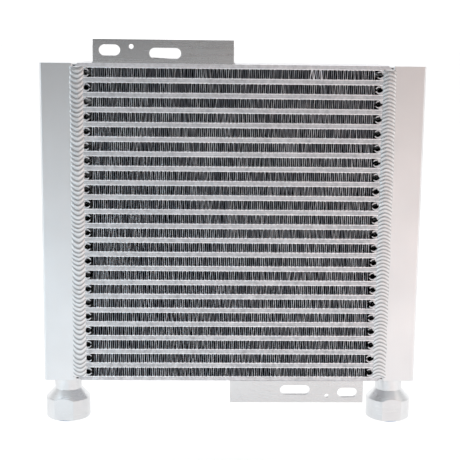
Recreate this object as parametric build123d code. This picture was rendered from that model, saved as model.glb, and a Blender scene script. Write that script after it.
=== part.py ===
from build123d import *
import os

# Hydraulic oil cooler: a brazed bar-and-plate core between two welded tanks, millimetres.
# X runs along the width, Y from the front (-) to the back (+), Z up.
# The origin is at the middle of the base, the plane that the two port plugs stand on.

# Core: one storey is a fin row, a sheet, an oil channel and a sheet.
FIN_ROWS = 22
FIN_HEIGHT = 8.0
OIL_HEIGHT = 3.0
SHEET = 0.8
SIDE_PLATE = 3.2
CORE_WIDTH = 271.0
DEPTH = 62.0
OIL_BAR_DEPTH = 6.0

# Air fins, folded strip: two walls to a fold.
FIN_FOLDS = 69
FIN_PITCH = 3.52
FIN_STRIP = 0.2
FIN_LEAN = 0.28

# Oil turbulators, folded strip inside the oil channels.
TURB_FOLDS = 12
TURB_PITCH = 4.0
TURB_STRIP = 0.3
TURB_LEAN = 0.3

# Air-side closing bars: an extrusion with a round hollow nose, open towards the fins.
NOSE_CENTRE_X = 125.4
NOSE_BORE_R = 2.45
NOSE_GAP = 2.4
NOSE_LIP = 3.1

# Tanks: extruded channels, with a plate set into each end flush with the walls.
TANK_WIDTH = 30.0
TANK_WALL = 4.0
TANK_EDGE_R = 2.0
END_CAP = 4.0
GROOVE = 2.5
GROOVE_EMPTY = 0.6

# Seam welds between the tanks and the core, on the front and back faces.
SEAM_ON_TANK = 4.4
SEAM_ON_CORE = 7.2
SEAM_CROWN = 1.3
SEAM_ROOT = 2.5

# Port bosses: round bar with two wrench flats, round neck, female G 3/4 thread at its minor diameter.
PORT_X = 148.2
BODY_R = 20.0
FLATS_AF = 36.0
LEFT_FLATS_TURN = -7.5
RIGHT_FLATS_TURN = 3.0
NECK_R = 12.15
NECK_LENGTH = 15.8
CONE_LENGTH = 8.4
BOSS_LENGTH = 42.6
BOSS_BORE_R = 8.5
THREAD_R = 12.06
THREAD_DEPTH = 17.0
MOUTH_R = 13.1
MOUTH_DEPTH = 4.0
FOOT_CHAMFER = 0.8
PILOT_R = 10.0
PILOT_STANDS = 2.0
PILOT_CLEARANCE = 0.1
PORT_WELD = 1.8

# Dust plugs: a thin flange and a short hollow spigot.
PLUG_FLANGE = 1.0
PLUG_FLANGE_R = 16.6
PLUG_SPIGOT_R = 12.8
PLUG_SPIGOT = 2.5
PLUG_WALL = 1.4

# Brackets: extruded angle, slots centred at these distances from the outer end and the free edge.
BRACKET_LENGTH = 120.0
BRACKET_HEIGHT = 20.2
BRACKET_LEG = 24.0
BRACKET_WALL = 4.0
SLOT_WIDTH = 9.0
SHORT_SLOT = 18.0
SHORT_SLOT_AT = (14.3, 9.3)
LONG_SLOT = 27.0
LONG_SLOT_AT = (61.5, 11.6)
SMALL_HOLE_R = 2.0
SMALL_HOLE_AT = (32.7, 6.2)
BRACKET_WELD = 3.0
STITCH_LENGTH = 24.0
STITCHES = 3

# Worked out from the sizes above.
STOREY = FIN_HEIGHT + OIL_HEIGHT + 2 * SHEET
OIL_CHANNELS = FIN_ROWS - 1
STACK = FIN_ROWS * FIN_HEIGHT + OIL_CHANNELS * OIL_HEIGHT + 2 * FIN_ROWS * SHEET
CORE_HEIGHT = STACK + 2 * SIDE_PLATE
BASE_Z = PLUG_FLANGE + BOSS_LENGTH
TOP_Z = BASE_Z + CORE_HEIGHT
MID_Z = BASE_Z + CORE_HEIGHT / 2
CORE_X = CORE_WIDTH / 2
TANK_X = CORE_X + TANK_WIDTH
FRONT_Y = -DEPTH / 2
BRACKET_FREE_Z = TOP_Z + BRACKET_HEIGHT


def row_z(row):
    """Height of the middle of a fin row, counted from 0 at the top."""
    return MID_Z + ((FIN_ROWS - 1) / 2 - row) * STOREY


def channel_z(channel):
    """Height of the middle of an oil channel, counted from 0 at the top."""
    return row_z(channel) - STOREY / 2


def block(x0, x1, y0, y1, z0, z1):
    """A box given by its limits."""
    size = Box(x1 - x0, y1 - y0, z1 - z0)
    return Pos((x0 + x1) / 2, (y0 + y1) / 2, (z0 + z1) / 2) * size


def along_depth(face):
    """A face drawn in X and Z at the origin, drawn out over the whole depth."""
    return extrude(Plane.XZ * face, DEPTH / 2, both=True)


def folded_strip(folds, pitch, height, strip, lean):
    """Outline of a strip folded into alternate crowns, standing between two sheets."""
    half = pitch / 2
    top = height / 2
    upper = []
    lower = []
    for wall in range(2 * folds):
        x = (wall - folds + 0.5) * half
        if wall % 2 == 0:
            upper += [(x - lean - strip / 2, -top + strip), (x + lean - strip / 2, top)]
            lower += [(x - lean + strip / 2, -top), (x + lean + strip / 2, top - strip)]
        else:
            upper += [(x - lean + strip / 2, top), (x + lean + strip / 2, -top + strip)]
            lower += [(x - lean - strip / 2, top - strip), (x + lean - strip / 2, -top)]
    first_foot = (lower[0][0] - strip, -top)
    last_foot = (lower[-1][0] + strip, -top)
    lower[0] = first_foot
    lower[-1] = last_foot
    return make_face(Polyline(*upper, *reversed(lower), close=True))


def air_fin():
    """One fin row at the origin; its channels run from front to back."""
    return along_depth(folded_strip(FIN_FOLDS, FIN_PITCH, FIN_HEIGHT, FIN_STRIP, FIN_LEAN))


def turbulator():
    """One turbulator at the origin; its channels run from tank to tank."""
    outline = folded_strip(TURB_FOLDS, TURB_PITCH, OIL_HEIGHT, TURB_STRIP, TURB_LEAN)
    return extrude(Plane.YZ * outline, CORE_X, both=True)


def air_bar(side):
    """Closing bar at one end of a fin row; side is -1 for the left end and 1 for the right."""
    nose_x = side * NOSE_CENTRE_X
    lip_x = side * (NOSE_CENTRE_X - NOSE_LIP)
    end_x = side * CORE_X
    web = Pos((nose_x + end_x) / 2, 0) * Rectangle(CORE_X - NOSE_CENTRE_X, FIN_HEIGHT)
    nose = Pos(nose_x, 0) * Circle(FIN_HEIGHT / 2)
    keep = Pos((lip_x + end_x) / 2, 0) * Rectangle(abs(end_x - lip_x), FIN_HEIGHT)
    gap = Pos(nose_x - side * NOSE_LIP, 0) * Rectangle(2 * NOSE_LIP, NOSE_GAP)
    face = (web + nose) & keep
    face -= Pos(nose_x, 0) * Circle(NOSE_BORE_R)
    face -= gap
    return along_depth(face)


def side_plate(direction):
    """Outer plate of the core; direction is 1 for the top and -1 for the bottom."""
    outer_z = MID_Z + direction * CORE_HEIGHT / 2
    inner_z = outer_z - direction * SIDE_PLATE
    plate = block(-CORE_X, CORE_X, FRONT_Y, -FRONT_Y, min(outer_z, inner_z), max(outer_z, inner_z))
    ends = plate.edges().filter_by(Axis.Y).filter_by(lambda e: abs(e.center().Z - outer_z) < 0.01)
    return chamfer(ends, GROOVE)


def groove_notch(side, direction):
    """The half of a weld groove that is cut from a tank's end, along its inner edge."""
    outer_z = MID_Z + direction * CORE_HEIGHT / 2
    section = Polyline(
        (side * CORE_X, outer_z),
        (side * (CORE_X + GROOVE), outer_z),
        (side * CORE_X, outer_z - direction * GROOVE),
        close=True,
    )
    return along_depth(make_face(section))


def tank(side):
    """Extruded channel that collects the oil, open towards the core."""
    middle_x = side * (CORE_X + TANK_WIDTH / 2)
    outline = Pos(middle_x, 0) * Rectangle(TANK_WIDTH, DEPTH)
    outer_corners = outline.vertices().filter_by(lambda v: abs(v.X) > TANK_X - 0.01)
    outline = fillet(outer_corners, TANK_EDGE_R)
    hollow_x = side * (CORE_X + (TANK_WIDTH - TANK_WALL) / 2)
    hollow = Pos(hollow_x, 0) * Rectangle(TANK_WIDTH - TANK_WALL, DEPTH - 2 * TANK_WALL)
    root = SEAM_ROOT
    for y_sign in (-1, 1):
        corner_x = side * CORE_X
        corner_y = y_sign * DEPTH / 2
        bevel = Polyline(
            (corner_x, corner_y),
            (corner_x + side * root, corner_y),
            (corner_x, corner_y - y_sign * root),
            close=True,
        )
        outline -= make_face(bevel)
    channel = Pos(0, 0, BASE_Z) * extrude(outline - hollow, CORE_HEIGHT)
    return channel - groove_notch(side, 1) - groove_notch(side, -1)


def end_cap(side, direction, port):
    """Plate set into a tank's end between its walls; the lower ones take a port boss."""
    outer_z = MID_Z + direction * CORE_HEIGHT / 2
    inner_z = outer_z - direction * END_CAP
    x0, x1 = sorted((side * CORE_X, side * (TANK_X - TANK_WALL)))
    y0 = FRONT_Y + TANK_WALL
    plate = block(x0, x1, y0, -y0, min(outer_z, inner_z), max(outer_z, inner_z))
    plate -= groove_notch(side, direction)
    if port:
        hole = Cylinder(PILOT_R + PILOT_CLEARANCE, 3 * END_CAP)
        plate -= Pos(side * PORT_X, 0, (outer_z + inner_z) / 2) * hole
    return plate


def port_boss(side):
    """Weld-on boss: pilot, neck, cone-shouldered body with two flats, and stepped bore."""
    foot_z = PLUG_FLANGE
    neck_end_z = BASE_Z - NECK_LENGTH
    cone_z = neck_end_z - CONE_LENGTH
    pilot_z = BASE_Z + END_CAP + PILOT_STANDS
    outside = Polyline(
        (0, foot_z),
        (BODY_R - FOOT_CHAMFER, foot_z),
        (BODY_R, foot_z + FOOT_CHAMFER),
        (BODY_R, cone_z),
        (NECK_R, neck_end_z),
        (NECK_R, BASE_Z),
        (PILOT_R, BASE_Z),
        (PILOT_R, pilot_z),
        (0, pilot_z),
        close=True,
    )
    inside = Polyline(
        (0, foot_z),
        (MOUTH_R, foot_z),
        (MOUTH_R, foot_z + MOUTH_DEPTH),
        (THREAD_R, foot_z + MOUTH_DEPTH),
        (THREAD_R, foot_z + THREAD_DEPTH),
        (BOSS_BORE_R, foot_z + THREAD_DEPTH + (THREAD_R - BOSS_BORE_R)),
        (BOSS_BORE_R, pilot_z),
        (0, pilot_z),
        close=True,
    )
    turned = revolve(Plane.XZ * make_face(outside), Axis.Z)
    bore = revolve(Plane.XZ * make_face(inside), Axis.Z)
    turn = RIGHT_FLATS_TURN if side > 0 else LEFT_FLATS_TURN
    between_flats = Rot(0, 0, turn) * Box(3 * BODY_R, FLATS_AF, 3 * pilot_z)
    return Pos(side * PORT_X, 0, 0) * ((turned & between_flats) - bore)


def port_plug(side):
    """Dust plug: a flange under the boss and a hollow spigot in the mouth."""
    top = PLUG_FLANGE + PLUG_SPIGOT
    flange = Pos(0, 0, PLUG_FLANGE / 2) * Cylinder(PLUG_FLANGE_R, PLUG_FLANGE)
    spigot = Pos(0, 0, top / 2) * Cylinder(PLUG_SPIGOT_R, top)
    hollow = Pos(0, 0, top) * Cylinder(PLUG_SPIGOT_R - PLUG_WALL, 2 * PLUG_SPIGOT)
    return Pos(side * PORT_X, 0, 0) * (flange + spigot - hollow)


def port_weld(side):
    """Fillet weld around the boss's pilot, inside the tank."""
    inner_z = BASE_Z + END_CAP
    section = Polyline(
        (PILOT_R + PILOT_CLEARANCE, inner_z),
        (PILOT_R + PORT_WELD, inner_z),
        (PILOT_R + PILOT_CLEARANCE, inner_z + PORT_WELD),
        close=True,
    )
    return Pos(side * PORT_X, 0, 0) * revolve(Plane.XZ * make_face(section), Axis.Z)


def seam_weld(side, y_sign):
    """Weld between a tank wall and the core: a crowned bead over a bevelled root."""
    face_y = y_sign * DEPTH / 2
    tank_x = side * (CORE_X + SEAM_ON_TANK)
    core_x = side * (CORE_X - SEAM_ON_CORE)
    crown = ThreePointArc(
        (core_x, face_y), ((core_x + tank_x) / 2, face_y + y_sign * SEAM_CROWN), (tank_x, face_y)
    )
    root = Polyline(
        (tank_x, face_y),
        (side * (CORE_X + SEAM_ROOT), face_y),
        (side * CORE_X, face_y - y_sign * SEAM_ROOT),
        (side * CORE_X, face_y),
        (core_x, face_y),
    )
    length = CORE_HEIGHT - 2 * END_CAP
    return Pos(0, 0, BASE_Z + END_CAP) * extrude(make_face(crown + root), length)


def groove_weld(side, direction):
    """Weld in the groove between a tank's end and the side plate, from front to back."""
    outer_z = MID_Z + direction * CORE_HEIGHT / 2
    level_z = outer_z - direction * GROOVE_EMPTY
    root_z = outer_z - direction * GROOVE
    reach = GROOVE - GROOVE_EMPTY
    section = Polyline(
        (side * CORE_X, root_z),
        (side * CORE_X + reach, level_z),
        (side * CORE_X - reach, level_z),
        close=True,
    )
    return along_depth(make_face(section))


def bracket_blank():
    """The top bracket's angle, its outer end at X = 0 and its free edge at Z = 0."""
    flange = block(0, BRACKET_LENGTH, FRONT_Y, FRONT_Y + BRACKET_WALL, -BRACKET_HEIGHT, 0)
    leg = block(
        0, BRACKET_LENGTH, FRONT_Y, FRONT_Y + BRACKET_LEG, -BRACKET_HEIGHT, -BRACKET_HEIGHT + BRACKET_WALL
    )
    angle = flange + leg
    for length, (x, drop) in ((SHORT_SLOT, SHORT_SLOT_AT), (LONG_SLOT, LONG_SLOT_AT)):
        slot = extrude(Plane.XZ * SlotOverall(length, SLOT_WIDTH), BRACKET_WALL, both=True)
        angle -= Pos(x, FRONT_Y + BRACKET_WALL / 2, -drop) * slot
    x, drop = SMALL_HOLE_AT
    hole = Rot(90, 0, 0) * Cylinder(SMALL_HOLE_R, 2 * BRACKET_WALL)
    angle -= Pos(x, FRONT_Y + BRACKET_WALL / 2, -drop) * hole
    return Pos(-BRACKET_LENGTH, 0, BRACKET_FREE_Z) * angle


def fillet_bead(x, y, along, length):
    """A fillet weld on the top plate, its right angle at X, Y; along is the way it runs."""
    leg = BRACKET_WELD
    if along == "+X":
        section = Polyline((y, TOP_Z), (y + leg, TOP_Z), (y, TOP_Z + leg), close=True)
        return Pos(x, 0, 0) * extrude(Plane.YZ * make_face(section), length)
    out = leg if x >= 0 else -leg
    section = Polyline((x, TOP_Z), (x + out, TOP_Z), (x, TOP_Z + leg), close=True)
    return Pos(0, y + length / 2, 0) * extrude(Plane.XZ * make_face(section), length / 2, both=True)


def bracket_welds():
    """The top bracket's welds: one at each end of the leg and stitches along its back."""
    back_y = FRONT_Y + BRACKET_LEG
    end_length = BRACKET_LEG - 2 * BRACKET_WALL
    end_y = FRONT_Y + BRACKET_WALL
    beads = [
        fillet_bead(-BRACKET_LENGTH, end_y, "+Y", end_length),
        fillet_bead(0, end_y, "+Y", end_length),
    ]
    pitch = BRACKET_LENGTH / STITCHES
    for stitch in range(STITCHES):
        x = -BRACKET_LENGTH + (stitch + 0.5) * pitch - STITCH_LENGTH / 2
        beads.append(fillet_bead(x, back_y, "+X", STITCH_LENGTH))
    return beads


def turned_over(shape):
    """The same piece on the bottom plate: turned half round about the depth axis."""
    return Pos(0, 0, MID_Z) * Rot(0, 180, 0) * Pos(0, 0, -MID_Z) * shape


def save(node, pieces):
    """Write one node's solids to parts/NODE.step."""
    solids = []
    for piece in pieces:
        solids += piece.solids()
    shape = solids[0] if len(solids) == 1 else Compound(children=solids)
    export_step(shape, f"parts/{node}.step")


def save_core():
    """The brazed stack."""
    fin = air_fin()
    turb = turbulator()
    for row in range(FIN_ROWS):
        save(f"air_fin_{row + 1:02d}", [Pos(0, 0, row_z(row)) * fin])
    for side, name in ((-1, "left"), (1, "right")):
        bar = air_bar(side)
        save(f"{name}_air_bars", [Pos(0, 0, row_z(row)) * bar for row in range(FIN_ROWS)])
    inner_y = -FRONT_Y - OIL_BAR_DEPTH
    for name, y0, y1 in (("front", FRONT_Y, -inner_y), ("back", inner_y, -FRONT_Y)):
        bar = block(-CORE_X, CORE_X, y0, y1, -OIL_HEIGHT / 2, OIL_HEIGHT / 2)
        save(f"{name}_oil_bars", [Pos(0, 0, channel_z(c)) * bar for c in range(OIL_CHANNELS)])
    save("oil_turbulators", [Pos(0, 0, channel_z(c)) * turb for c in range(OIL_CHANNELS)])
    sheet = block(-CORE_X, CORE_X, FRONT_Y, -FRONT_Y, -SHEET / 2, SHEET / 2)
    sheet_gap = (FIN_HEIGHT + SHEET) / 2
    sheets = []
    for row in range(FIN_ROWS):
        sheets.append(Pos(0, 0, row_z(row) + sheet_gap) * sheet)
        sheets.append(Pos(0, 0, row_z(row) - sheet_gap) * sheet)
    save("parting_sheets", sheets)
    save("top_side_plate", [side_plate(1)])
    save("bottom_side_plate", [side_plate(-1)])


def save_tanks():
    """Tanks, their end caps, ports and welds."""
    for side, name in ((-1, "left"), (1, "right")):
        save(f"{name}_tank", [tank(side)])
        save(f"{name}_tank_top_cap", [end_cap(side, 1, False)])
        save(f"{name}_tank_bottom_cap", [end_cap(side, -1, True)])
        save(f"{name}_port_boss", [port_boss(side)])
        save(f"{name}_port_plug", [port_plug(side)])
        save(f"{name}_port_weld", [port_weld(side)])
        save(f"{name}_front_seam_weld", [seam_weld(side, -1)])
        save(f"{name}_back_seam_weld", [seam_weld(side, 1)])
        save(f"{name}_top_groove_weld", [groove_weld(side, 1)])
        save(f"{name}_bottom_groove_weld", [groove_weld(side, -1)])


def save_brackets():
    """Two like brackets, one on each side plate."""
    angle = bracket_blank()
    welds = bracket_welds()
    save("upper_bracket", [angle])
    save("upper_bracket_welds", welds)
    save("lower_bracket", [turned_over(angle)])
    save("lower_bracket_welds", [turned_over(weld) for weld in welds])


os.makedirs("parts", exist_ok=True)
save_core()
save_tanks()
save_brackets()
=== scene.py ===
import math

import bmesh
import bpy
import numpy as np
from mathutils import Matrix, Vector


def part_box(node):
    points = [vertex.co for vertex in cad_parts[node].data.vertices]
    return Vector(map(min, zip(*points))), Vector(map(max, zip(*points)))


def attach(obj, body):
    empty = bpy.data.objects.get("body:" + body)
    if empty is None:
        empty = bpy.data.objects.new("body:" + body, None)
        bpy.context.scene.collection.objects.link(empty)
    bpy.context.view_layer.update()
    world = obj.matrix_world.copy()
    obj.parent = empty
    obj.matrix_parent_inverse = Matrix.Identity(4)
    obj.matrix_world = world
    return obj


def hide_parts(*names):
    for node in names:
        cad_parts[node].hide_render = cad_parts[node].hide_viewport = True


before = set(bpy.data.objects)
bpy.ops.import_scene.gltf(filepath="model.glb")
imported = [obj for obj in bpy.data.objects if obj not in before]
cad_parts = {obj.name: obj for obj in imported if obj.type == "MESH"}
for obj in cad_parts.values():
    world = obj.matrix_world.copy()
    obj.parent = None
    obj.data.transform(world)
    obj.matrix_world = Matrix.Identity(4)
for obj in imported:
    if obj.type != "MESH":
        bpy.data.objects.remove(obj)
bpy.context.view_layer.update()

MM = 0.001
RNG = np.random.default_rng(7)


# ---------------------------------------------------------------- places read from the frame

def corners(node):
    """A node's lowest and highest corners, as two vectors."""
    low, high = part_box(node)
    return Vector(low), Vector(high)


CORE_LOW, CORE_HIGH = corners("parting_sheets")
PLATE_TOP = corners("top_side_plate")[1].z
PLATE_BOTTOM = corners("bottom_side_plate")[0].z
MID_Z = (PLATE_TOP + PLATE_BOTTOM) / 2
FRONT_Y = CORE_LOW.y
BACK_Y = CORE_HIGH.y
CORE_X = CORE_HIGH.x
FIN_NODES = sorted(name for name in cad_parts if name.startswith("air_fin_"))


# ---------------------------------------------------------------- material helpers

class Nodes:
    """A short way to write a material's node tree."""

    def __init__(self, name):
        self.material = bpy.data.materials.new(name)
        self.material.use_nodes = True
        self.tree = self.material.node_tree
        self.tree.nodes.clear()
        self.out = self.add("ShaderNodeOutputMaterial")
        self.shader = self.add("ShaderNodeBsdfPrincipled")
        self.link(self.shader.outputs["BSDF"], self.out.inputs["Surface"])
        self.place = self.add("ShaderNodeTexCoord").outputs["Object"]

    def add(self, kind, **values):
        node = self.tree.nodes.new(kind)
        for key, value in values.items():
            setattr(node, key, value)
        return node

    def link(self, output, socket):
        self.tree.links.new(output, socket)

    def feed(self, socket, value):
        if isinstance(value, bpy.types.NodeSocket):
            self.link(value, socket)
        else:
            socket.default_value = value

    def noise(self, scale, stretch=(1, 1, 1), detail=3.0, rough=0.55):
        """Noise over the object, from 0 to 1; a small stretch draws it out along that axis."""
        mapping = self.add("ShaderNodeMapping")
        mapping.inputs["Scale"].default_value = stretch
        self.link(self.place, mapping.inputs["Vector"])
        noise = self.add("ShaderNodeTexNoise")
        noise.inputs["Scale"].default_value = scale
        noise.inputs["Detail"].default_value = detail
        noise.inputs["Roughness"].default_value = rough
        self.link(mapping.outputs["Vector"], noise.inputs["Vector"])
        return noise.outputs["Fac"]

    def spread(self, value, low, high, new_low=0.0, new_high=1.0):
        """A value's range low to high moved to new_low to new_high."""
        node = self.add("ShaderNodeMapRange")
        self.link(value, node.inputs["Value"])
        node.inputs["From Min"].default_value = low
        node.inputs["From Max"].default_value = high
        node.inputs["To Min"].default_value = new_low
        node.inputs["To Max"].default_value = new_high
        return node.outputs["Result"]

    def mix(self, amount, first, second):
        """Colour mix, first where amount is 0."""
        node = self.add("ShaderNodeMix", data_type="RGBA")
        self.feed(node.inputs["Factor"], amount)
        self.feed(node.inputs[6], first)
        self.feed(node.inputs[7], second)
        return node.outputs[2]

    def maths(self, operation, first, second):
        node = self.add("ShaderNodeMath", operation=operation)
        self.feed(node.inputs[0], first)
        self.feed(node.inputs[1], second)
        return node.outputs[0]

    def attribute(self, name):
        node = self.add("ShaderNodeAttribute", attribute_name=name)
        return node.outputs["Fac"]

    def bump(self, height, distance, strength=1.0, under=None):
        node = self.add("ShaderNodeBump")
        node.inputs["Strength"].default_value = strength
        node.inputs["Distance"].default_value = distance
        self.link(height, node.inputs["Height"])
        if under is not None:
            self.link(under, node.inputs["Normal"])
        return node.outputs["Normal"]


def rgba(r, g, b):
    return (r, g, b, 1.0)


def extruded_metal(name, light, dark, rough, lines=(1, 1, 0.01)):
    """Satin aluminium with faint draw lines along one axis and soft cloudy patches."""
    n = Nodes(name)
    clouds = n.noise(14.0, detail=4.0)
    drawn = n.noise(1400.0, lines, detail=2.0)
    grain = n.noise(2600.0, detail=2.0)
    n.link(n.mix(n.spread(clouds, 0.3, 0.7), light, dark), n.shader.inputs["Base Color"])
    n.shader.inputs["Metallic"].default_value = 1.0
    streaks = n.spread(drawn, 0.3, 0.7, 0.0, 0.05)
    patches = n.spread(clouds, 0.3, 0.7, rough, rough + 0.07)
    n.link(n.maths("ADD", streaks, patches), n.shader.inputs["Roughness"])
    lines_normal = n.bump(drawn, 0.02 * MM, 0.16)
    n.link(n.bump(grain, 0.02 * MM, 0.25, lines_normal), n.shader.inputs["Normal"])
    return n.material


def brazed_metal(name, light, dark, rough, grit=0.06):
    """Aluminium dulled in the brazing furnace: mottled, with fine grit and flux bloom."""
    n = Nodes(name)
    mottle = n.noise(220.0, detail=5.0, rough=0.65)
    bloom = n.noise(38.0, detail=3.0)
    fine = n.noise(1900.0, detail=3.0)
    tone = n.mix(n.spread(mottle, 0.35, 0.68), light, dark)
    pale = rgba(*[min(1.0, c * 1.12) for c in light[:3]])
    n.link(n.mix(n.spread(bloom, 0.5, 0.75, 0.0, 0.6), tone, pale), n.shader.inputs["Base Color"])
    n.shader.inputs["Metallic"].default_value = 1.0
    n.link(n.spread(mottle, 0.3, 0.7, rough, rough + 0.18), n.shader.inputs["Roughness"])
    coarse = n.bump(mottle, 0.12 * MM, 0.5)
    n.link(n.bump(fine, grit * MM, 0.5, coarse), n.shader.inputs["Normal"])
    return n.material


def fin_metal(name):
    """Thin rolled strip: bright sheared edges at the two faces, with painted shade inside the channels,
    near-black and not metal, for the deep shadow of the fin gaps.
    """
    n = Nodes(name)
    mottle = n.noise(260.0, detail=4.0)
    walls = n.noise(420.0, (1, 0.1, 0.12), detail=2.0)
    edge = n.mix(n.spread(walls, 0.40, 0.60), rgba(0.30, 0.32, 0.36), rgba(0.92, 0.95, 1.0))
    # Painted shade: a near-black, non-metal colour inside the fin channels; the edge mask below sets it and
    # the Metallic value.
    inside = n.mix(n.spread(mottle, 0.35, 0.68), rgba(0.008, 0.010, 0.015), rgba(0.018, 0.021, 0.028))
    sheared = n.attribute("edge")
    n.link(n.mix(sheared, inside, edge), n.shader.inputs["Base Color"])
    n.link(sheared, n.shader.inputs["Metallic"])
    n.shader.inputs["Specular IOR Level"].default_value = 0.25
    n.link(n.spread(mottle, 0.3, 0.7, 0.36, 0.52), n.shader.inputs["Roughness"])
    n.link(n.bump(mottle, 0.05 * MM, 0.4), n.shader.inputs["Normal"])
    return n.material


def weld_metal(name):
    """TIG bead: painted highlight on the ripple crests and painted shade in the duller creases, a little
    soot, fine solidification lines.
    """
    n = Nodes(name)
    crest = n.attribute("crest")
    fine = n.noise(1500.0, detail=3.0)
    soot = n.noise(120.0, detail=4.0)
    # Painted highlight on the ripple crests and painted shade in the creases, driven by the bead's crest
    # value.
    crest_highlight_crease_shade = n.mix(n.spread(crest, 0.15, 0.85), rgba(0.34, 0.35, 0.36), rgba(0.78, 0.79, 0.80))
    sooty = n.mix(n.spread(soot, 0.55, 0.8, 0.0, 0.5), crest_highlight_crease_shade, rgba(0.5, 0.5, 0.5))
    n.link(sooty, n.shader.inputs["Base Color"])
    n.shader.inputs["Metallic"].default_value = 1.0
    n.link(n.spread(crest, 0.0, 1.0, 0.55, 0.34), n.shader.inputs["Roughness"])
    n.link(n.bump(fine, 0.04 * MM, 0.45), n.shader.inputs["Normal"])
    return n.material


def turned_metal(name, light, dark, rough):
    """Turned boss: fine rings around the upright axis, with a soft sheen."""
    n = Nodes(name)
    rings = n.noise(2200.0, (0.02, 0.02, 1), detail=2.0)
    clouds = n.noise(45.0, detail=3.0)
    n.link(n.mix(n.spread(clouds, 0.35, 0.7), light, dark), n.shader.inputs["Base Color"])
    n.shader.inputs["Metallic"].default_value = 1.0
    n.link(n.spread(rings, 0.3, 0.7, rough, rough + 0.12), n.shader.inputs["Roughness"])
    n.link(n.bump(rings, 0.02 * MM, 0.4), n.shader.inputs["Normal"])
    return n.material


def moulded_plastic(name, light, dark):
    """Polyethylene plug: soft gloss, faint flow marks and fine moulded grain."""
    n = Nodes(name)
    flow = n.noise(60.0, (1, 1, 0.4), detail=4.0)
    grain = n.noise(2400.0, detail=2.0)
    n.link(n.mix(n.spread(flow, 0.3, 0.7), light, dark), n.shader.inputs["Base Color"])
    n.link(n.spread(flow, 0.3, 0.7, 0.36, 0.48), n.shader.inputs["Roughness"])
    n.shader.inputs["Subsurface Weight"].default_value = 0.15
    n.shader.inputs["Subsurface Radius"].default_value = (0.4, 0.6, 1.0)
    n.shader.inputs["Subsurface Scale"].default_value = 1.0 * MM
    n.link(n.bump(grain, 0.02 * MM, 0.3), n.shader.inputs["Normal"])
    return n.material


TANK_METAL = extruded_metal("tank_metal", rgba(0.78, 0.79, 0.80), rgba(0.73, 0.74, 0.75), 0.28)
CAP_METAL = extruded_metal("cap_metal", rgba(0.76, 0.77, 0.78), rgba(0.70, 0.71, 0.72), 0.36, (0.01, 1, 1))
BRACKET_METAL = extruded_metal(
    "bracket_metal", rgba(0.67, 0.675, 0.68), rgba(0.62, 0.625, 0.63), 0.20, (0.01, 1, 1)
)
PLATE_METAL = brazed_metal(
    "side_plate_metal", rgba(0.72, 0.72, 0.74), rgba(0.54, 0.54, 0.56), 0.42, grit=0.09
)
BAR_METAL = brazed_metal("oil_bar_metal", rgba(0.64, 0.65, 0.67), rgba(0.44, 0.45, 0.47), 0.40, grit=0.09)
NOSE_METAL = brazed_metal("air_bar_metal", rgba(0.70, 0.71, 0.73), rgba(0.56, 0.57, 0.59), 0.38)
SHEET_METAL = brazed_metal("sheet_metal", rgba(0.92, 0.93, 0.95), rgba(0.84, 0.85, 0.87), 0.30)
FIN_METAL = fin_metal("fin_metal")
TURBULATOR_METAL = brazed_metal("turbulator_metal", rgba(0.66, 0.67, 0.68), rgba(0.5, 0.5, 0.5), 0.45)
WELD_METAL = weld_metal("weld_metal")
BOSS_METAL = turned_metal("boss_metal", rgba(0.74, 0.75, 0.76), rgba(0.68, 0.69, 0.70), 0.26)
PLUG_PLASTIC = moulded_plastic("plug_plastic", rgba(0.05, 0.16, 0.42), rgba(0.03, 0.11, 0.34))


# ---------------------------------------------------------------- mesh helpers

def new_piece(name, mesh, material, body, slot, *nodes):
    """A finished piece: its mesh, material, body and the CAD nodes it stands for; the record slot argument
    is not used.
    """
    piece = bpy.data.objects.new(name, mesh)
    bpy.context.scene.collection.objects.link(piece)
    mesh.materials.clear()
    mesh.materials.append(material)
    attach(piece, body)
    if nodes:
        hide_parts(*nodes)
    return piece


def mesh_from(name, points, faces, smooth=True):
    mesh = bpy.data.meshes.new(name)
    mesh.from_pydata([tuple(p) for p in points], [], [tuple(f) for f in faces])
    mesh.validate()
    mesh.polygons.foreach_set("use_smooth", [smooth] * len(mesh.polygons))
    return mesh


def grid_faces(rows, columns, start=0, closed=False):
    """Quads of a grid of points stored row by row; closed joins the last column to the first."""
    faces = []
    last = columns if closed else columns - 1
    for r in range(rows - 1):
        for c in range(last):
            a = start + r * columns + c
            b = start + r * columns + (c + 1) % columns
            faces.append((a, b, b + columns, a + columns))
    return faces


def softened(name, node, material, slot, width, segments=2, angle=38.0):
    """The node's own shape with its sharp edges rounded a little, so that they catch the light."""
    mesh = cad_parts[node].data.copy()
    mesh.name = name
    work = bmesh.new()
    work.from_mesh(mesh)
    bmesh.ops.remove_doubles(work, verts=work.verts, dist=0.002 * MM)
    bmesh.ops.dissolve_limit(
        work, angle_limit=math.radians(0.8), verts=work.verts, edges=work.edges, delimit={"NORMAL"}
    )
    sharp = [e for e in work.edges if len(e.link_faces) == 2 and e.calc_face_angle(0) > math.radians(angle)]
    bmesh.ops.bevel(
        work, geom=sharp, offset=width, segments=segments, profile=0.6, affect="EDGES", clamp_overlap=True
    )
    work.to_mesh(mesh)
    work.free()
    mesh.polygons.foreach_set("use_smooth", [True] * len(mesh.polygons))
    mesh.set_sharp_from_angle(angle=math.radians(42))
    piece = new_piece(name, mesh, material, "root", slot, node)
    normals = piece.modifiers.new("normals", "WEIGHTED_NORMAL")
    normals.keep_sharp = True
    normals.weight = 80


# ---------------------------------------------------------------- core

FIN_WALLS = 138
FIN_STRIP = 0.29 * MM
FIN_LEAN = 0.15 * MM
FIN_JITTER = 0.07 * MM
FIN_SHIFT = 0.12 * MM
FIN_SHIFT_LIMIT = 0.30 * MM
FIN_WAVE = 1.1 * MM
FIN_STATIONS = 12
BENT_ROW = 0
BENT_FROM, BENT_TO = 65 * MM, 77 * MM
BENT_STRIP = 0.7 * MM


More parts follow.
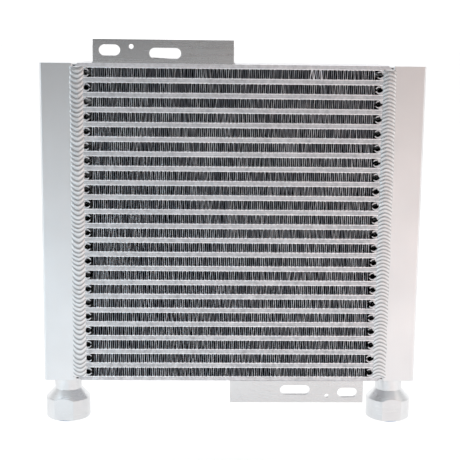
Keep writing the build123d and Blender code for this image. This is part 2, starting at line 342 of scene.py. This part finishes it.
def fin_row(index, node):
    """One row of folded air fin: uneven walls that wave from front to back, between two sheets."""
    low, high = corners(node)
    middle_z = (low.z + high.z) / 2
    half_height = (high.z - low.z) / 2
    half_pitch = (high.x - low.x - FIN_STRIP - 2 * FIN_LEAN) / (FIN_WALLS - 1)
    base_x = low.x + FIN_STRIP / 2 + FIN_LEAN
    shift = np.clip(RNG.normal(0, FIN_SHIFT, FIN_WALLS), -FIN_SHIFT_LIMIT, FIN_SHIFT_LIMIT)
    lean = FIN_LEAN + RNG.normal(0, FIN_JITTER, FIN_WALLS)
    bulge = RNG.normal(0, FIN_JITTER, (FIN_WALLS, 2))
    upper = []
    lower = []
    for wall in range(FIN_WALLS):
        x = base_x + wall * half_pitch + shift[wall]
        rising = wall % 2 == 0
        tilt = lean[wall]
        half_strip = FIN_STRIP / 2
        if index == BENT_ROW and BENT_FROM < x < BENT_TO:
            tilt += (0.42 if rising else 0.15) * MM
            half_strip = BENT_STRIP / 2
        levels = (-1.0, -0.4, 0.4, 1.0) if rising else (1.0, 0.4, -0.4, -1.0)
        for step, level in enumerate(levels):
            swell = bulge[wall, step - 1] if step in (1, 2) else 0.0
            centre = x + tilt * level * (1 if rising else -1) + swell
            at_crown = level == 1.0
            at_valley = level == -1.0
            left = centre - half_strip
            right = centre + half_strip
            z_left = z_right = middle_z + level * half_height
            if rising:
                z_left += FIN_STRIP if at_valley else 0.0
                z_right -= FIN_STRIP if at_crown else 0.0
                upper.append((left, z_left))
                lower.append((right, z_right))
            else:
                z_left -= FIN_STRIP if at_crown else 0.0
                z_right += FIN_STRIP if at_valley else 0.0
                upper.append((right, z_right))
                lower.append((left, z_left))
    outline = np.array(upper + lower[::-1])
    count = len(outline)
    points = []
    recess = RNG.normal(0.25 * MM, 0.12 * MM)
    front_y, back_y = low.y + abs(recess), high.y - 0.2 * MM
    inner = np.linspace(front_y + 5 * MM, back_y - 5 * MM, FIN_STATIONS - 4)
    depth = np.concatenate([[front_y, front_y + 0.3 * MM], inner, [back_y - 0.3 * MM, back_y]])
    edge_x = np.clip((np.abs(outline[:, 0]) - (high.x - 6 * MM)) / (6 * MM), 0, 1)
    for y in depth:
        turn = 2 * math.pi * (y - low.y) / (44 * MM)
        wave = FIN_WAVE * (math.cos(turn) - 1.0) * (1 - edge_x)
        points.extend(np.column_stack([outline[:, 0] + wave, np.full(count, y), outline[:, 1]]))
    faces = grid_faces(FIN_STATIONS, count, closed=True)
    half = len(upper)
    for start, flip in ((0, False), ((FIN_STATIONS - 1) * count, True)):
        for k in range(half - 1):
            face = (start + k, start + k + 1, start + count - 2 - k, start + count - 1 - k)
            faces.append(face[::-1] if flip else face)
    mesh = mesh_from(f"fin_strip_{index + 1:02d}", points, faces)
    # Edge mask: 1 at the front and back stations, 0 between them, where the fin material paints shade.
    shade = np.repeat([1.0] + [0.0] * (FIN_STATIONS - 2) + [1.0], count)
    layer = mesh.attributes.new("edge", "FLOAT", "POINT")
    layer.data.foreach_set("value", shade)
    mesh.set_sharp_from_angle(angle=math.radians(35))
    new_piece(f"fin_strip_{index + 1:02d}", mesh, FIN_METAL, "root", "air_fins", node)


NOSE_BORE_R = 2.4 * MM
NOSE_WALL = 0.75 * MM
NOSE_CENTRE = {"left": 126.1 * MM, "right": 125.3 * MM}
ROW_HEIGHT = 8.0 * MM


def nose_outline(centre, bore, wall, mouth, drop):
    """One closing bar seen from the front, its open nose towards -X: (x, z) points, anticlockwise.

    The bar is solid from its end to the bore; two thin lips curve round the bore and leave a
    wedge of air above and below; mouth is the half angle of the opening, in degrees."""
    half = ROW_HEIGHT / 2
    end = CORE_X
    outer = bore + wall
    points = [(end, -half), (end, half)]
    shoulder = centre + 0.1 * MM
    points.append((shoulder, half))
    for angle in np.linspace(78, 180 - mouth, 12):
        a = math.radians(angle)
        swell = 1 + 0.12 * math.cos(a * 2) ** 2
        points.append((centre + outer * swell * math.cos(a), drop + outer * swell * math.sin(a)))
    for angle in np.linspace(180 - mouth + 4, -180 + mouth - 4, 30):
        a = math.radians(angle)
        points.append((centre + bore * math.cos(a), drop + bore * math.sin(a)))
    for angle in np.linspace(-180 + mouth, -78, 12):
        a = math.radians(angle)
        swell = 1 + 0.12 * math.cos(a * 2) ** 2
        points.append((centre + outer * swell * math.cos(a), drop + outer * swell * math.sin(a)))
    points.append((shoulder, -half))
    return points


def nose_bars(name, side):
    """All closing bars of one end, each a little different, as one mesh."""
    work = bmesh.new()
    for node in FIN_NODES:
        low, high = corners(node)
        middle = (low.z + high.z) / 2
        centre = NOSE_CENTRE[name] + RNG.normal(0, 0.22 * MM)
        bore = NOSE_BORE_R * RNG.uniform(0.95, 1.04)
        mouth = RNG.uniform(18, 46)
        drop = RNG.normal(0, 0.15 * MM)
        outline = nose_outline(centre, bore, NOSE_WALL * RNG.uniform(0.8, 1.25), mouth, drop)
        recess = 0.15 * MM + abs(RNG.normal(0, 0.12 * MM))
        front = [work.verts.new((side * x, FRONT_Y + recess, middle + z)) for x, z in outline]
        back = [work.verts.new((side * x, BACK_Y - recess, middle + z)) for x, z in outline]
        count = len(outline)
        for k in range(count):
            work.faces.new((front[k], front[(k + 1) % count], back[(k + 1) % count], back[k]))
        caps = [work.faces.new(front), work.faces.new(back[::-1])]
        bmesh.ops.triangulate(work, faces=caps, ngon_method="EAR_CLIP")
    bmesh.ops.recalc_face_normals(work, faces=work.faces)
    mesh = bpy.data.meshes.new(f"nose_bars_{name}")
    work.to_mesh(mesh)
    work.free()
    mesh.polygons.foreach_set("use_smooth", [True] * len(mesh.polygons))
    mesh.set_sharp_from_angle(angle=math.radians(35))
    new_piece(f"nose_bars_{name}", mesh, NOSE_METAL, "root", "air_bars", f"{name}_air_bars")


def build_core():
    for index, node in enumerate(FIN_NODES):
        fin_row(index, node)
    softened("parting_sheet_edges", "parting_sheets", SHEET_METAL, "parting_sheets", 0.14 * MM)
    softened("oil_bars_front", "front_oil_bars", BAR_METAL, "oil_bars", 0.3 * MM)
    softened("oil_bars_back", "back_oil_bars", BAR_METAL, "oil_bars", 0.3 * MM)
    nose_bars("left", -1)
    nose_bars("right", 1)
    softened("side_plate_top", "top_side_plate", PLATE_METAL, "side_plates", 0.35 * MM)
    softened("side_plate_bottom", "bottom_side_plate", PLATE_METAL, "side_plates", 0.35 * MM)


# ---------------------------------------------------------------- tanks, brackets, bosses

def build_housings():
    for side in ("left", "right"):
        softened(f"{side}_header", f"{side}_tank", TANK_METAL, "tanks", 0.4 * MM)
        softened(f"{side}_header_top", f"{side}_tank_top_cap", CAP_METAL, "tank_caps", 0.3 * MM)
        softened(f"{side}_header_bottom", f"{side}_tank_bottom_cap", CAP_METAL, "tank_caps", 0.3 * MM)
        softened(f"{side}_boss", f"{side}_port_boss", BOSS_METAL, "port_bosses", 0.25 * MM, angle=22.0)
    softened("bracket_upper", "upper_bracket", BRACKET_METAL, "brackets", 0.35 * MM)
    softened("bracket_lower", "lower_bracket", BRACKET_METAL, "brackets", 0.35 * MM)


PLUG_RIM_R = 16.6 * MM
PLUG_SEGMENTS = 96


def arc_points(centre, radius, start, end, steps):
    """Points of an arc in a profile of radius and height, angles in degrees."""
    angles = np.radians(np.linspace(start, end, steps))
    return [(centre[0] + radius * math.cos(a), centre[1] + radius * math.sin(a)) for a in angles]


def plug(side):
    """Dust plug: dished flange with a rounded rim, sealing ribs on the spigot, hollow inside."""
    low, high = corners(f"{side}_port_plug")
    centre = (low + high) / 2
    flange = 1.0 * MM
    top = high.z - low.z
    spigot_r = 12.75 * MM
    wall = 1.3 * MM
    rim = 0.2 * MM
    profile = [(0.0, 0.3 * MM), (9.0 * MM, 0.3 * MM), (9.6 * MM, 0.0), (14.4 * MM, 0.0)]
    profile += arc_points((PLUG_RIM_R - rim, rim), rim, -90, 0, 4)
    profile += arc_points((PLUG_RIM_R - rim, flange - rim), rim, 0, 90, 4)
    profile += [(spigot_r, flange), (spigot_r - 0.15 * MM, flange + 0.3 * MM)]
    rib_z = (flange + top) / 2
    profile += arc_points((spigot_r - 0.2 * MM, rib_z), 0.3 * MM, -80, 80, 5)
    profile += [(spigot_r - 0.3 * MM, top - 0.2 * MM), (spigot_r - 0.6 * MM, top)]
    floor_z = flange + 0.2 * MM
    profile += [(spigot_r - wall, top), (spigot_r - wall - 0.2 * MM, floor_z), (0.0, floor_z)]
    angles = np.linspace(0, 2 * math.pi, PLUG_SEGMENTS, endpoint=False)
    points = []
    for r, z in profile:
        radius = max(r, 0.01 * MM)
        for a in angles:
            points.append((centre.x + radius * math.cos(a), centre.y + radius * math.sin(a), low.z + z))
    faces = grid_faces(len(profile), PLUG_SEGMENTS, closed=True)
    faces.append(tuple(range(PLUG_SEGMENTS))[::-1])
    faces.append(tuple(range(len(points) - PLUG_SEGMENTS, len(points))))
    mesh = mesh_from(f"{side}_dust_plug", points, faces)
    mesh.set_sharp_from_angle(angle=math.radians(50))
    new_piece(
        f"{side}_dust_plug", mesh, PLUG_PLASTIC, f"{side}_plug", "port_plugs", f"{side}_port_plug"
    )


# ---------------------------------------------------------------- weld beads

def ripple(phase, sharpness=2.2):
    """One ripple a turn, from 0 in the crease to 1 on the crest: a slow rise and a quick fall."""
    part = phase - np.floor(phase)
    return np.clip(np.where(part < 0.72, (part / 0.72) ** (1 / sharpness), ((1 - part) / 0.28) ** 1.2), 0, 1)


def smooth_noise(length, knots):
    """Smooth random values from -1 to 1 along a line of that many points."""
    values = RNG.uniform(-1, 1, knots)
    return np.interp(np.linspace(0, knots - 1, length), np.arange(knots), values)


RIPPLE_RELIEF = 0.20 * MM


def bead_mesh(
    name, place, length, width, crown, pitch, bow, rows_per_mm=2.2, columns=26, sink=0.6 * MM, bias=0.0
):
    """A weld bead laid along a line. place(along, across, out) gives a point in the frame.

    The bead swells to crown in the middle; each ripple is bowed, so its middle trails by bow,
    and bias moves the deepest point of the bow to one side."""
    rows = int(length / MM * rows_per_mm)
    along = np.linspace(0, length, rows)
    across = np.linspace(-1, 1, columns)
    left_edge = 1 + 0.07 * smooth_noise(rows, int(length / (7 * MM)) + 3)
    right_edge = 1 + 0.09 * smooth_noise(rows, int(length / (6 * MM)) + 3)
    pace = along / pitch + 0.36 * smooth_noise(rows, int(length / (16 * MM)) + 3)
    height_drift = 1 + 0.13 * smooth_noise(rows, int(length / (12 * MM)) + 3)
    ends = np.clip(np.minimum(along, length - along) / (3 * MM), 0, 1) ** 0.5
    points = []
    crest = []
    for row in range(rows):
        for u in across:
            edge = left_edge[row] if u < 0 else right_edge[row]
            scallop = 1 + 0.018 * math.sin(2 * math.pi * pace[row])
            offset = u * edge * scallop * width / 2
            steep = 0.5 + 0.5 * bias * math.copysign(1.0, u) if bias else 0.5
            dome = (1 - abs(u) ** (1.7 + 2.6 * steep)) ** (1.0 - 0.35 * steep)
            lean = 0.35 * math.copysign(1.0, bow) * bias * u
            wave = float(ripple(pace[row] + bow / pitch * (1 - abs(u + 0.25 * bias) ** 1.7) + lean))
            height = crown * dome * height_drift[row] * ends[row]
            height += RIPPLE_RELIEF * (wave - 0.5) * dome ** 0.5 * ends[row]
            points.append(place(along[row], offset, max(height, 0.02 * MM) if abs(u) < 1 else -0.05 * MM))
            crest.append(wave)
    faces = grid_faces(rows, columns)
    base = len(points)
    for row in (0, rows - 1):
        for u in (-1, 1):
            points.append(place(along[row], u * width / 2 * 0.9, -sink))
            crest.append(0.0)
    first = list(range(columns))
    last = list(range((rows - 1) * columns, rows * columns))
    left_side = [r * columns for r in range(rows)]
    right_side = [r * columns + columns - 1 for r in range(rows)]
    faces.append(tuple(first[::-1]) + (base, base + 1))
    faces.append(tuple(last) + (base + 3, base + 2))
    faces.append(tuple(left_side) + (base + 2, base))
    faces.append(tuple(right_side[::-1]) + (base + 1, base + 3))
    faces.append((base, base + 2, base + 3, base + 1))
    mesh = mesh_from(name, points, faces)
    work = bmesh.new()
    work.from_mesh(mesh)
    bmesh.ops.triangulate(work, faces=[f for f in work.faces if len(f.verts) > 4])
    bmesh.ops.recalc_face_normals(work, faces=work.faces)
    work.to_mesh(mesh)
    work.free()
    # Crest value per point; the weld material paints highlight on crests and shade in creases from it.
    layer = mesh.attributes.new("crest", "FLOAT", "POINT")
    layer.data.foreach_set("value", crest)
    mesh.set_sharp_from_angle(angle=math.radians(60))
    return mesh


SEAM_SHORT = 3.0 * MM
SEAM_PITCH = {"left": 4.2 * MM, "right": 3.3 * MM}
SEAM_BOW = {"left": 3.6 * MM, "right": -3.2 * MM}
SEAM_BIAS = {"left": -0.9, "right": 0.9}
SEAM_CROWN = 0.95 * MM


def seam_bead(side, face):
    """Bead between a tank and the core, running down the front or the back."""
    node = f"{side}_{face}_seam_weld"
    low, high = corners(node)
    out = -1 if face == "front" else 1
    face_y = FRONT_Y if face == "front" else BACK_Y
    centre_x = (low.x + high.x) / 2
    bottom = PLATE_BOTTOM + SEAM_SHORT
    length = PLATE_TOP - PLATE_BOTTOM - 2 * SEAM_SHORT

    def place(along, across, height):
        return (centre_x + across, face_y + out * height, bottom + along)

    mesh = bead_mesh(
        f"{side}_{face}_bead", place, length, high.x - low.x, SEAM_CROWN, SEAM_PITCH[side], SEAM_BOW[side],
        bias=SEAM_BIAS[side],
    )
    new_piece(f"{side}_{face}_bead", mesh, WELD_METAL, "root", "welds", node)


GROOVE_SHORT = 0.6 * MM


def groove_bead(side, end):
    """Bead across the tank's end, lying low in its groove."""
    node = f"{side}_{end}_groove_weld"
    low, high = corners(node)
    out = 1 if end == "top" else -1
    level = high.z if end == "top" else low.z
    centre_x = (low.x + high.x) / 2

    def place(along, across, height):
        return (centre_x + across, FRONT_Y + GROOVE_SHORT + along, level + out * (height - 0.5 * MM))

    mesh = bead_mesh(
        f"{side}_{end}_bead", place, BACK_Y - FRONT_Y - 2 * GROOVE_SHORT, high.x - low.x,
        crown=0.5 * MM, pitch=3.0 * MM, bow=1.2 * MM, columns=12, sink=0.9 * MM,
    )
    new_piece(f"{side}_{end}_bead", mesh, WELD_METAL, "root", "welds", node)


def bracket_beads(name, turned):
    """Fillet beads of one bracket: the leg's two ends and three stitches along its back."""
    low, high = corners(f"{name}_bracket_welds")
    leg = high.z - low.z
    spans = []
    end_length = (high.y - leg) - low.y
    spans.append(("end", low.x + leg, -1, low.y, end_length))
    spans.append(("end", high.x - leg, 1, low.y, end_length))
    leg_x0, leg_x1 = low.x + leg, high.x - leg
    pitch = (leg_x1 - leg_x0) / 3
    for stitch in range(3):
        spans.append(("back", leg_x0 + (stitch + 0.5) * pitch - 12 * MM, 1, high.y - leg, 24 * MM))
    up = -1 if turned else 1
    root_z = high.z if turned else low.z
    slant = leg / math.sqrt(2)
    meshes = []
    for kind, x, way, y, length in spans:

        def place(along, across, height, kind=kind, x=x, way=way, y=y):
            out = slant / 2 + height * 0.8
            flat = (out - across) / math.sqrt(2)
            rise = (out + across) / math.sqrt(2)
            if kind == "end":
                return (x + way * flat, y + along, root_z + up * rise)
            return (x + along, y + flat, root_z + up * rise)

        meshes.append(bead_mesh(
            f"{name}_{kind}", place, length, leg * 1.25,
            crown=0.5 * MM, pitch=2.6 * MM, bow=1.4 * MM, rows_per_mm=2.5, columns=12, sink=0.8 * MM,
        ))
    work = bmesh.new()
    for mesh in meshes:
        work.from_mesh(mesh)
        bpy.data.meshes.remove(mesh)
    joined = bpy.data.meshes.new(f"{name}_bracket_beads")
    work.to_mesh(joined)
    work.free()
    new_piece(f"{name}_bracket_beads", joined, WELD_METAL, "root", "welds", f"{name}_bracket_welds")


def build_welds():
    for side in ("left", "right"):
        for face in ("front", "back"):
            seam_bead(side, face)
        for end in ("top", "bottom"):
            groove_bead(side, end)
    bracket_beads("upper", False)
    bracket_beads("lower", True)


# ---------------------------------------------------------------- carried-over nodes

def dress(node, material):
    """Give a CAD node that stays as it is its material."""
    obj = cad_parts[node]
    obj.data.materials.clear()
    obj.data.materials.append(material)


build_core()
build_housings()
for plug_side in ("left", "right"):
    plug(plug_side)
build_welds()
dress("oil_turbulators", TURBULATOR_METAL)
dress("left_port_weld", WELD_METAL)
dress("right_port_weld", WELD_METAL)


# ---------------------------------------------------------------- floor, light and camera

FLOOR_Z = -0.086
# Grey of the painted shade on the front of the floor.
FLOOR_PAINTED_SHADE = rgba(0.55, 0.55, 0.55)
COOL = rgba(0.80, 0.92, 1.0)
WARM = rgba(1.0, 0.88, 0.83)
DIM_WAY = (-0.16, -1.0, 0.08)
DIM_LEVEL = 0.05
BRIGHT_LEVEL = 0.78
BACKDROP_LEVEL = 1.3
OVERHEAD_LEVEL = 1.35


def floor():
    """Plain pale floor under the ports, with painted shade darkening it towards the front of the room."""
    half = 60.0
    points = [(x, y, FLOOR_Z) for x, y in ((-half, -half), (half, -half), (half, half), (-half, half))]
    mesh = mesh_from("floor", points, [(0, 1, 2, 3)], smooth=False)
    obj = bpy.data.objects.new("floor", mesh)
    bpy.context.scene.collection.objects.link(obj)
    n = Nodes("floor_paper")
    tone = n.noise(3.0, detail=2.0)
    paper = n.mix(n.spread(tone, 0.3, 0.7), rgba(0.97, 0.97, 0.97), rgba(0.96, 0.96, 0.96))
    split = n.add("ShaderNodeSeparateXYZ")
    n.link(n.place, split.inputs[0])
    # Painted shade: the floor's colour darkens from pale paper to grey towards the front of the room.
    shade = n.spread(split.outputs["Y"], -1.1, -3.2)
    n.link(n.mix(shade, paper, FLOOR_PAINTED_SHADE), n.shader.inputs["Base Color"])
    n.shader.inputs["Roughness"].default_value = 0.8
    mesh.materials.append(n.material)


def soft_box(name, place, aim, size, watts, colour, spread=180):
    light = bpy.data.lights.new(name, "AREA")
    light.spread = math.radians(spread)
    light.shape = "RECTANGLE"
    light.size, light.size_y = size
    light.energy = watts
    light.color = colour
    obj = bpy.data.objects.new(name, light)
    bpy.context.scene.collection.objects.link(obj)
    obj.location = place
    way = Vector(aim) - Vector(place)
    obj.rotation_euler = way.to_track_quat("-Z", "Y").to_euler()
    obj.visible_camera = False


def studio():
    """A white room, dimmer behind the camera, cool on the left and warm on the right."""
    world = bpy.data.worlds.new("studio")
    bpy.context.scene.world = world
    world.use_nodes = True
    tree = world.node_tree
    back = tree.nodes["Background"]
    way = tree.nodes.new("ShaderNodeTexCoord").outputs["Generated"]
    split = tree.nodes.new("ShaderNodeSeparateXYZ")
    tree.links.new(way, split.inputs[0])

    def ranged(value, low, high, new_low, new_high):
        node = tree.nodes.new("ShaderNodeMapRange")
        node.interpolation_type = "SMOOTHSTEP"
        tree.links.new(value, node.inputs["Value"])
        numbers = {"From Min": low, "From Max": high, "To Min": new_low, "To Max": new_high}
        for socket, number in numbers.items():
            node.inputs[socket].default_value = number
        return node.outputs["Result"]

    def mixed(amount, first, second):
        node = tree.nodes.new("ShaderNodeMix")
        node.data_type = "RGBA"
        tree.links.new(amount, node.inputs["Factor"])
        for socket, value in ((node.inputs[6], first), (node.inputs[7], second)):
            if isinstance(value, bpy.types.NodeSocket):
                tree.links.new(value, socket)
            else:
                socket.default_value = value
        return node.outputs[2]

    tint = mixed(ranged(split.outputs["X"], -0.35, 0.30, 0.0, 1.0), COOL, WARM)
    colour = mixed(ranged(split.outputs["Y"], -0.6, 0.2, 0.0, 1.0), tint, rgba(1, 1, 1))
    towards = tree.nodes.new("ShaderNodeVectorMath")
    towards.operation = "DOT_PRODUCT"
    tree.links.new(way, towards.inputs[0])
    towards.inputs[1].default_value = Vector(DIM_WAY).normalized()
    level = ranged(towards.outputs["Value"], 1.0, 0.60, DIM_LEVEL, BRIGHT_LEVEL)
    for other in (
        ranged(split.outputs["Y"], -0.2, 0.8, 0.0, BACKDROP_LEVEL),
        ranged(split.outputs["Z"], 0.3, 0.9, 0.0, OVERHEAD_LEVEL),
    ):
        brighter = tree.nodes.new("ShaderNodeMath")
        brighter.operation = "MAXIMUM"
        tree.links.new(level, brighter.inputs[0])
        tree.links.new(other, brighter.inputs[1])
        level = brighter.outputs[0]
    tree.links.new(colour, back.inputs["Color"])
    tree.links.new(level, back.inputs["Strength"])
    target = (0.0, 0.0, MID_Z)
    soft_box("key", (-1.1, -1.0, 1.5), target, (0.9, 0.9), 1.5, (0.80, 0.92, 1.0))
    soft_box("fill", (0.50, -1.5, 0.30), target, (0.45, 0.8), 0.62, (1.0, 0.70, 0.60))
    soft_box("left_strip", (-1.15, -0.62, 0.25), target, (0.4, 1.2), 1.4, (0.86, 0.94, 1.0))
    soft_box("right_strip", (1.15, -0.62, 0.25), target, (0.4, 1.2), 1.4, (1.0, 0.88, 0.82))
    soft_box("left_wash", (-0.50, -1.1, 0.9), (-0.50, -1.0, FLOOR_Z), (0.7, 1.0), 1.3, (0.30, 0.74, 1.0), 80)
    soft_box("right_wash", (0.50, -1.1, 0.9), (0.50, -1.0, FLOOR_Z), (0.7, 1.0), 0.9, (1.0, 0.42, 0.24), 80)
    soft_box("overhead", (0.0, 0.4, 2.2), (0.0, 0.4, 0.0), (2.4, 2.0), 8.0, (1.0, 1.0, 1.0))


CAMERA_ELEVATION = math.radians(9.98)
CAMERA_YAW = math.radians(1.72)
CAMERA_ROLL = math.radians(0.68)
CAMERA_DISTANCE = 0.950
CAMERA_LENS = 84.95
TARGET_RIGHT = -1.64 * MM
TARGET_DOWN = 3.06 * MM


def camera():
    """The camera, aimed at a point on the core's front plane close to its middle."""
    data = bpy.data.cameras.new("camera")
    data.lens = CAMERA_LENS
    data.sensor_width = 36.0
    obj = bpy.data.objects.new("camera", data)
    bpy.context.scene.collection.objects.link(obj)
    level = math.cos(CAMERA_ELEVATION)
    drop = math.sin(CAMERA_ELEVATION)
    forward = Vector((math.sin(CAMERA_YAW) * level, math.cos(CAMERA_YAW) * level, -drop))
    flat_right = Vector((math.cos(CAMERA_YAW), -math.sin(CAMERA_YAW), 0.0))
    flat_up = flat_right.cross(forward)
    right = flat_right * math.cos(CAMERA_ROLL) + flat_up * math.sin(CAMERA_ROLL)
    up = flat_up * math.cos(CAMERA_ROLL) - flat_right * math.sin(CAMERA_ROLL)
    target = Vector((TARGET_RIGHT, FRONT_Y, MID_Z - TARGET_DOWN))
    turn = Matrix((right, up, -forward)).transposed().to_4x4()
    obj.matrix_world = Matrix.Translation(target - forward * CAMERA_DISTANCE) @ turn
    bpy.context.scene.camera = obj


floor()
studio()
camera()
bpy.context.scene.view_settings.view_transform = "Standard"
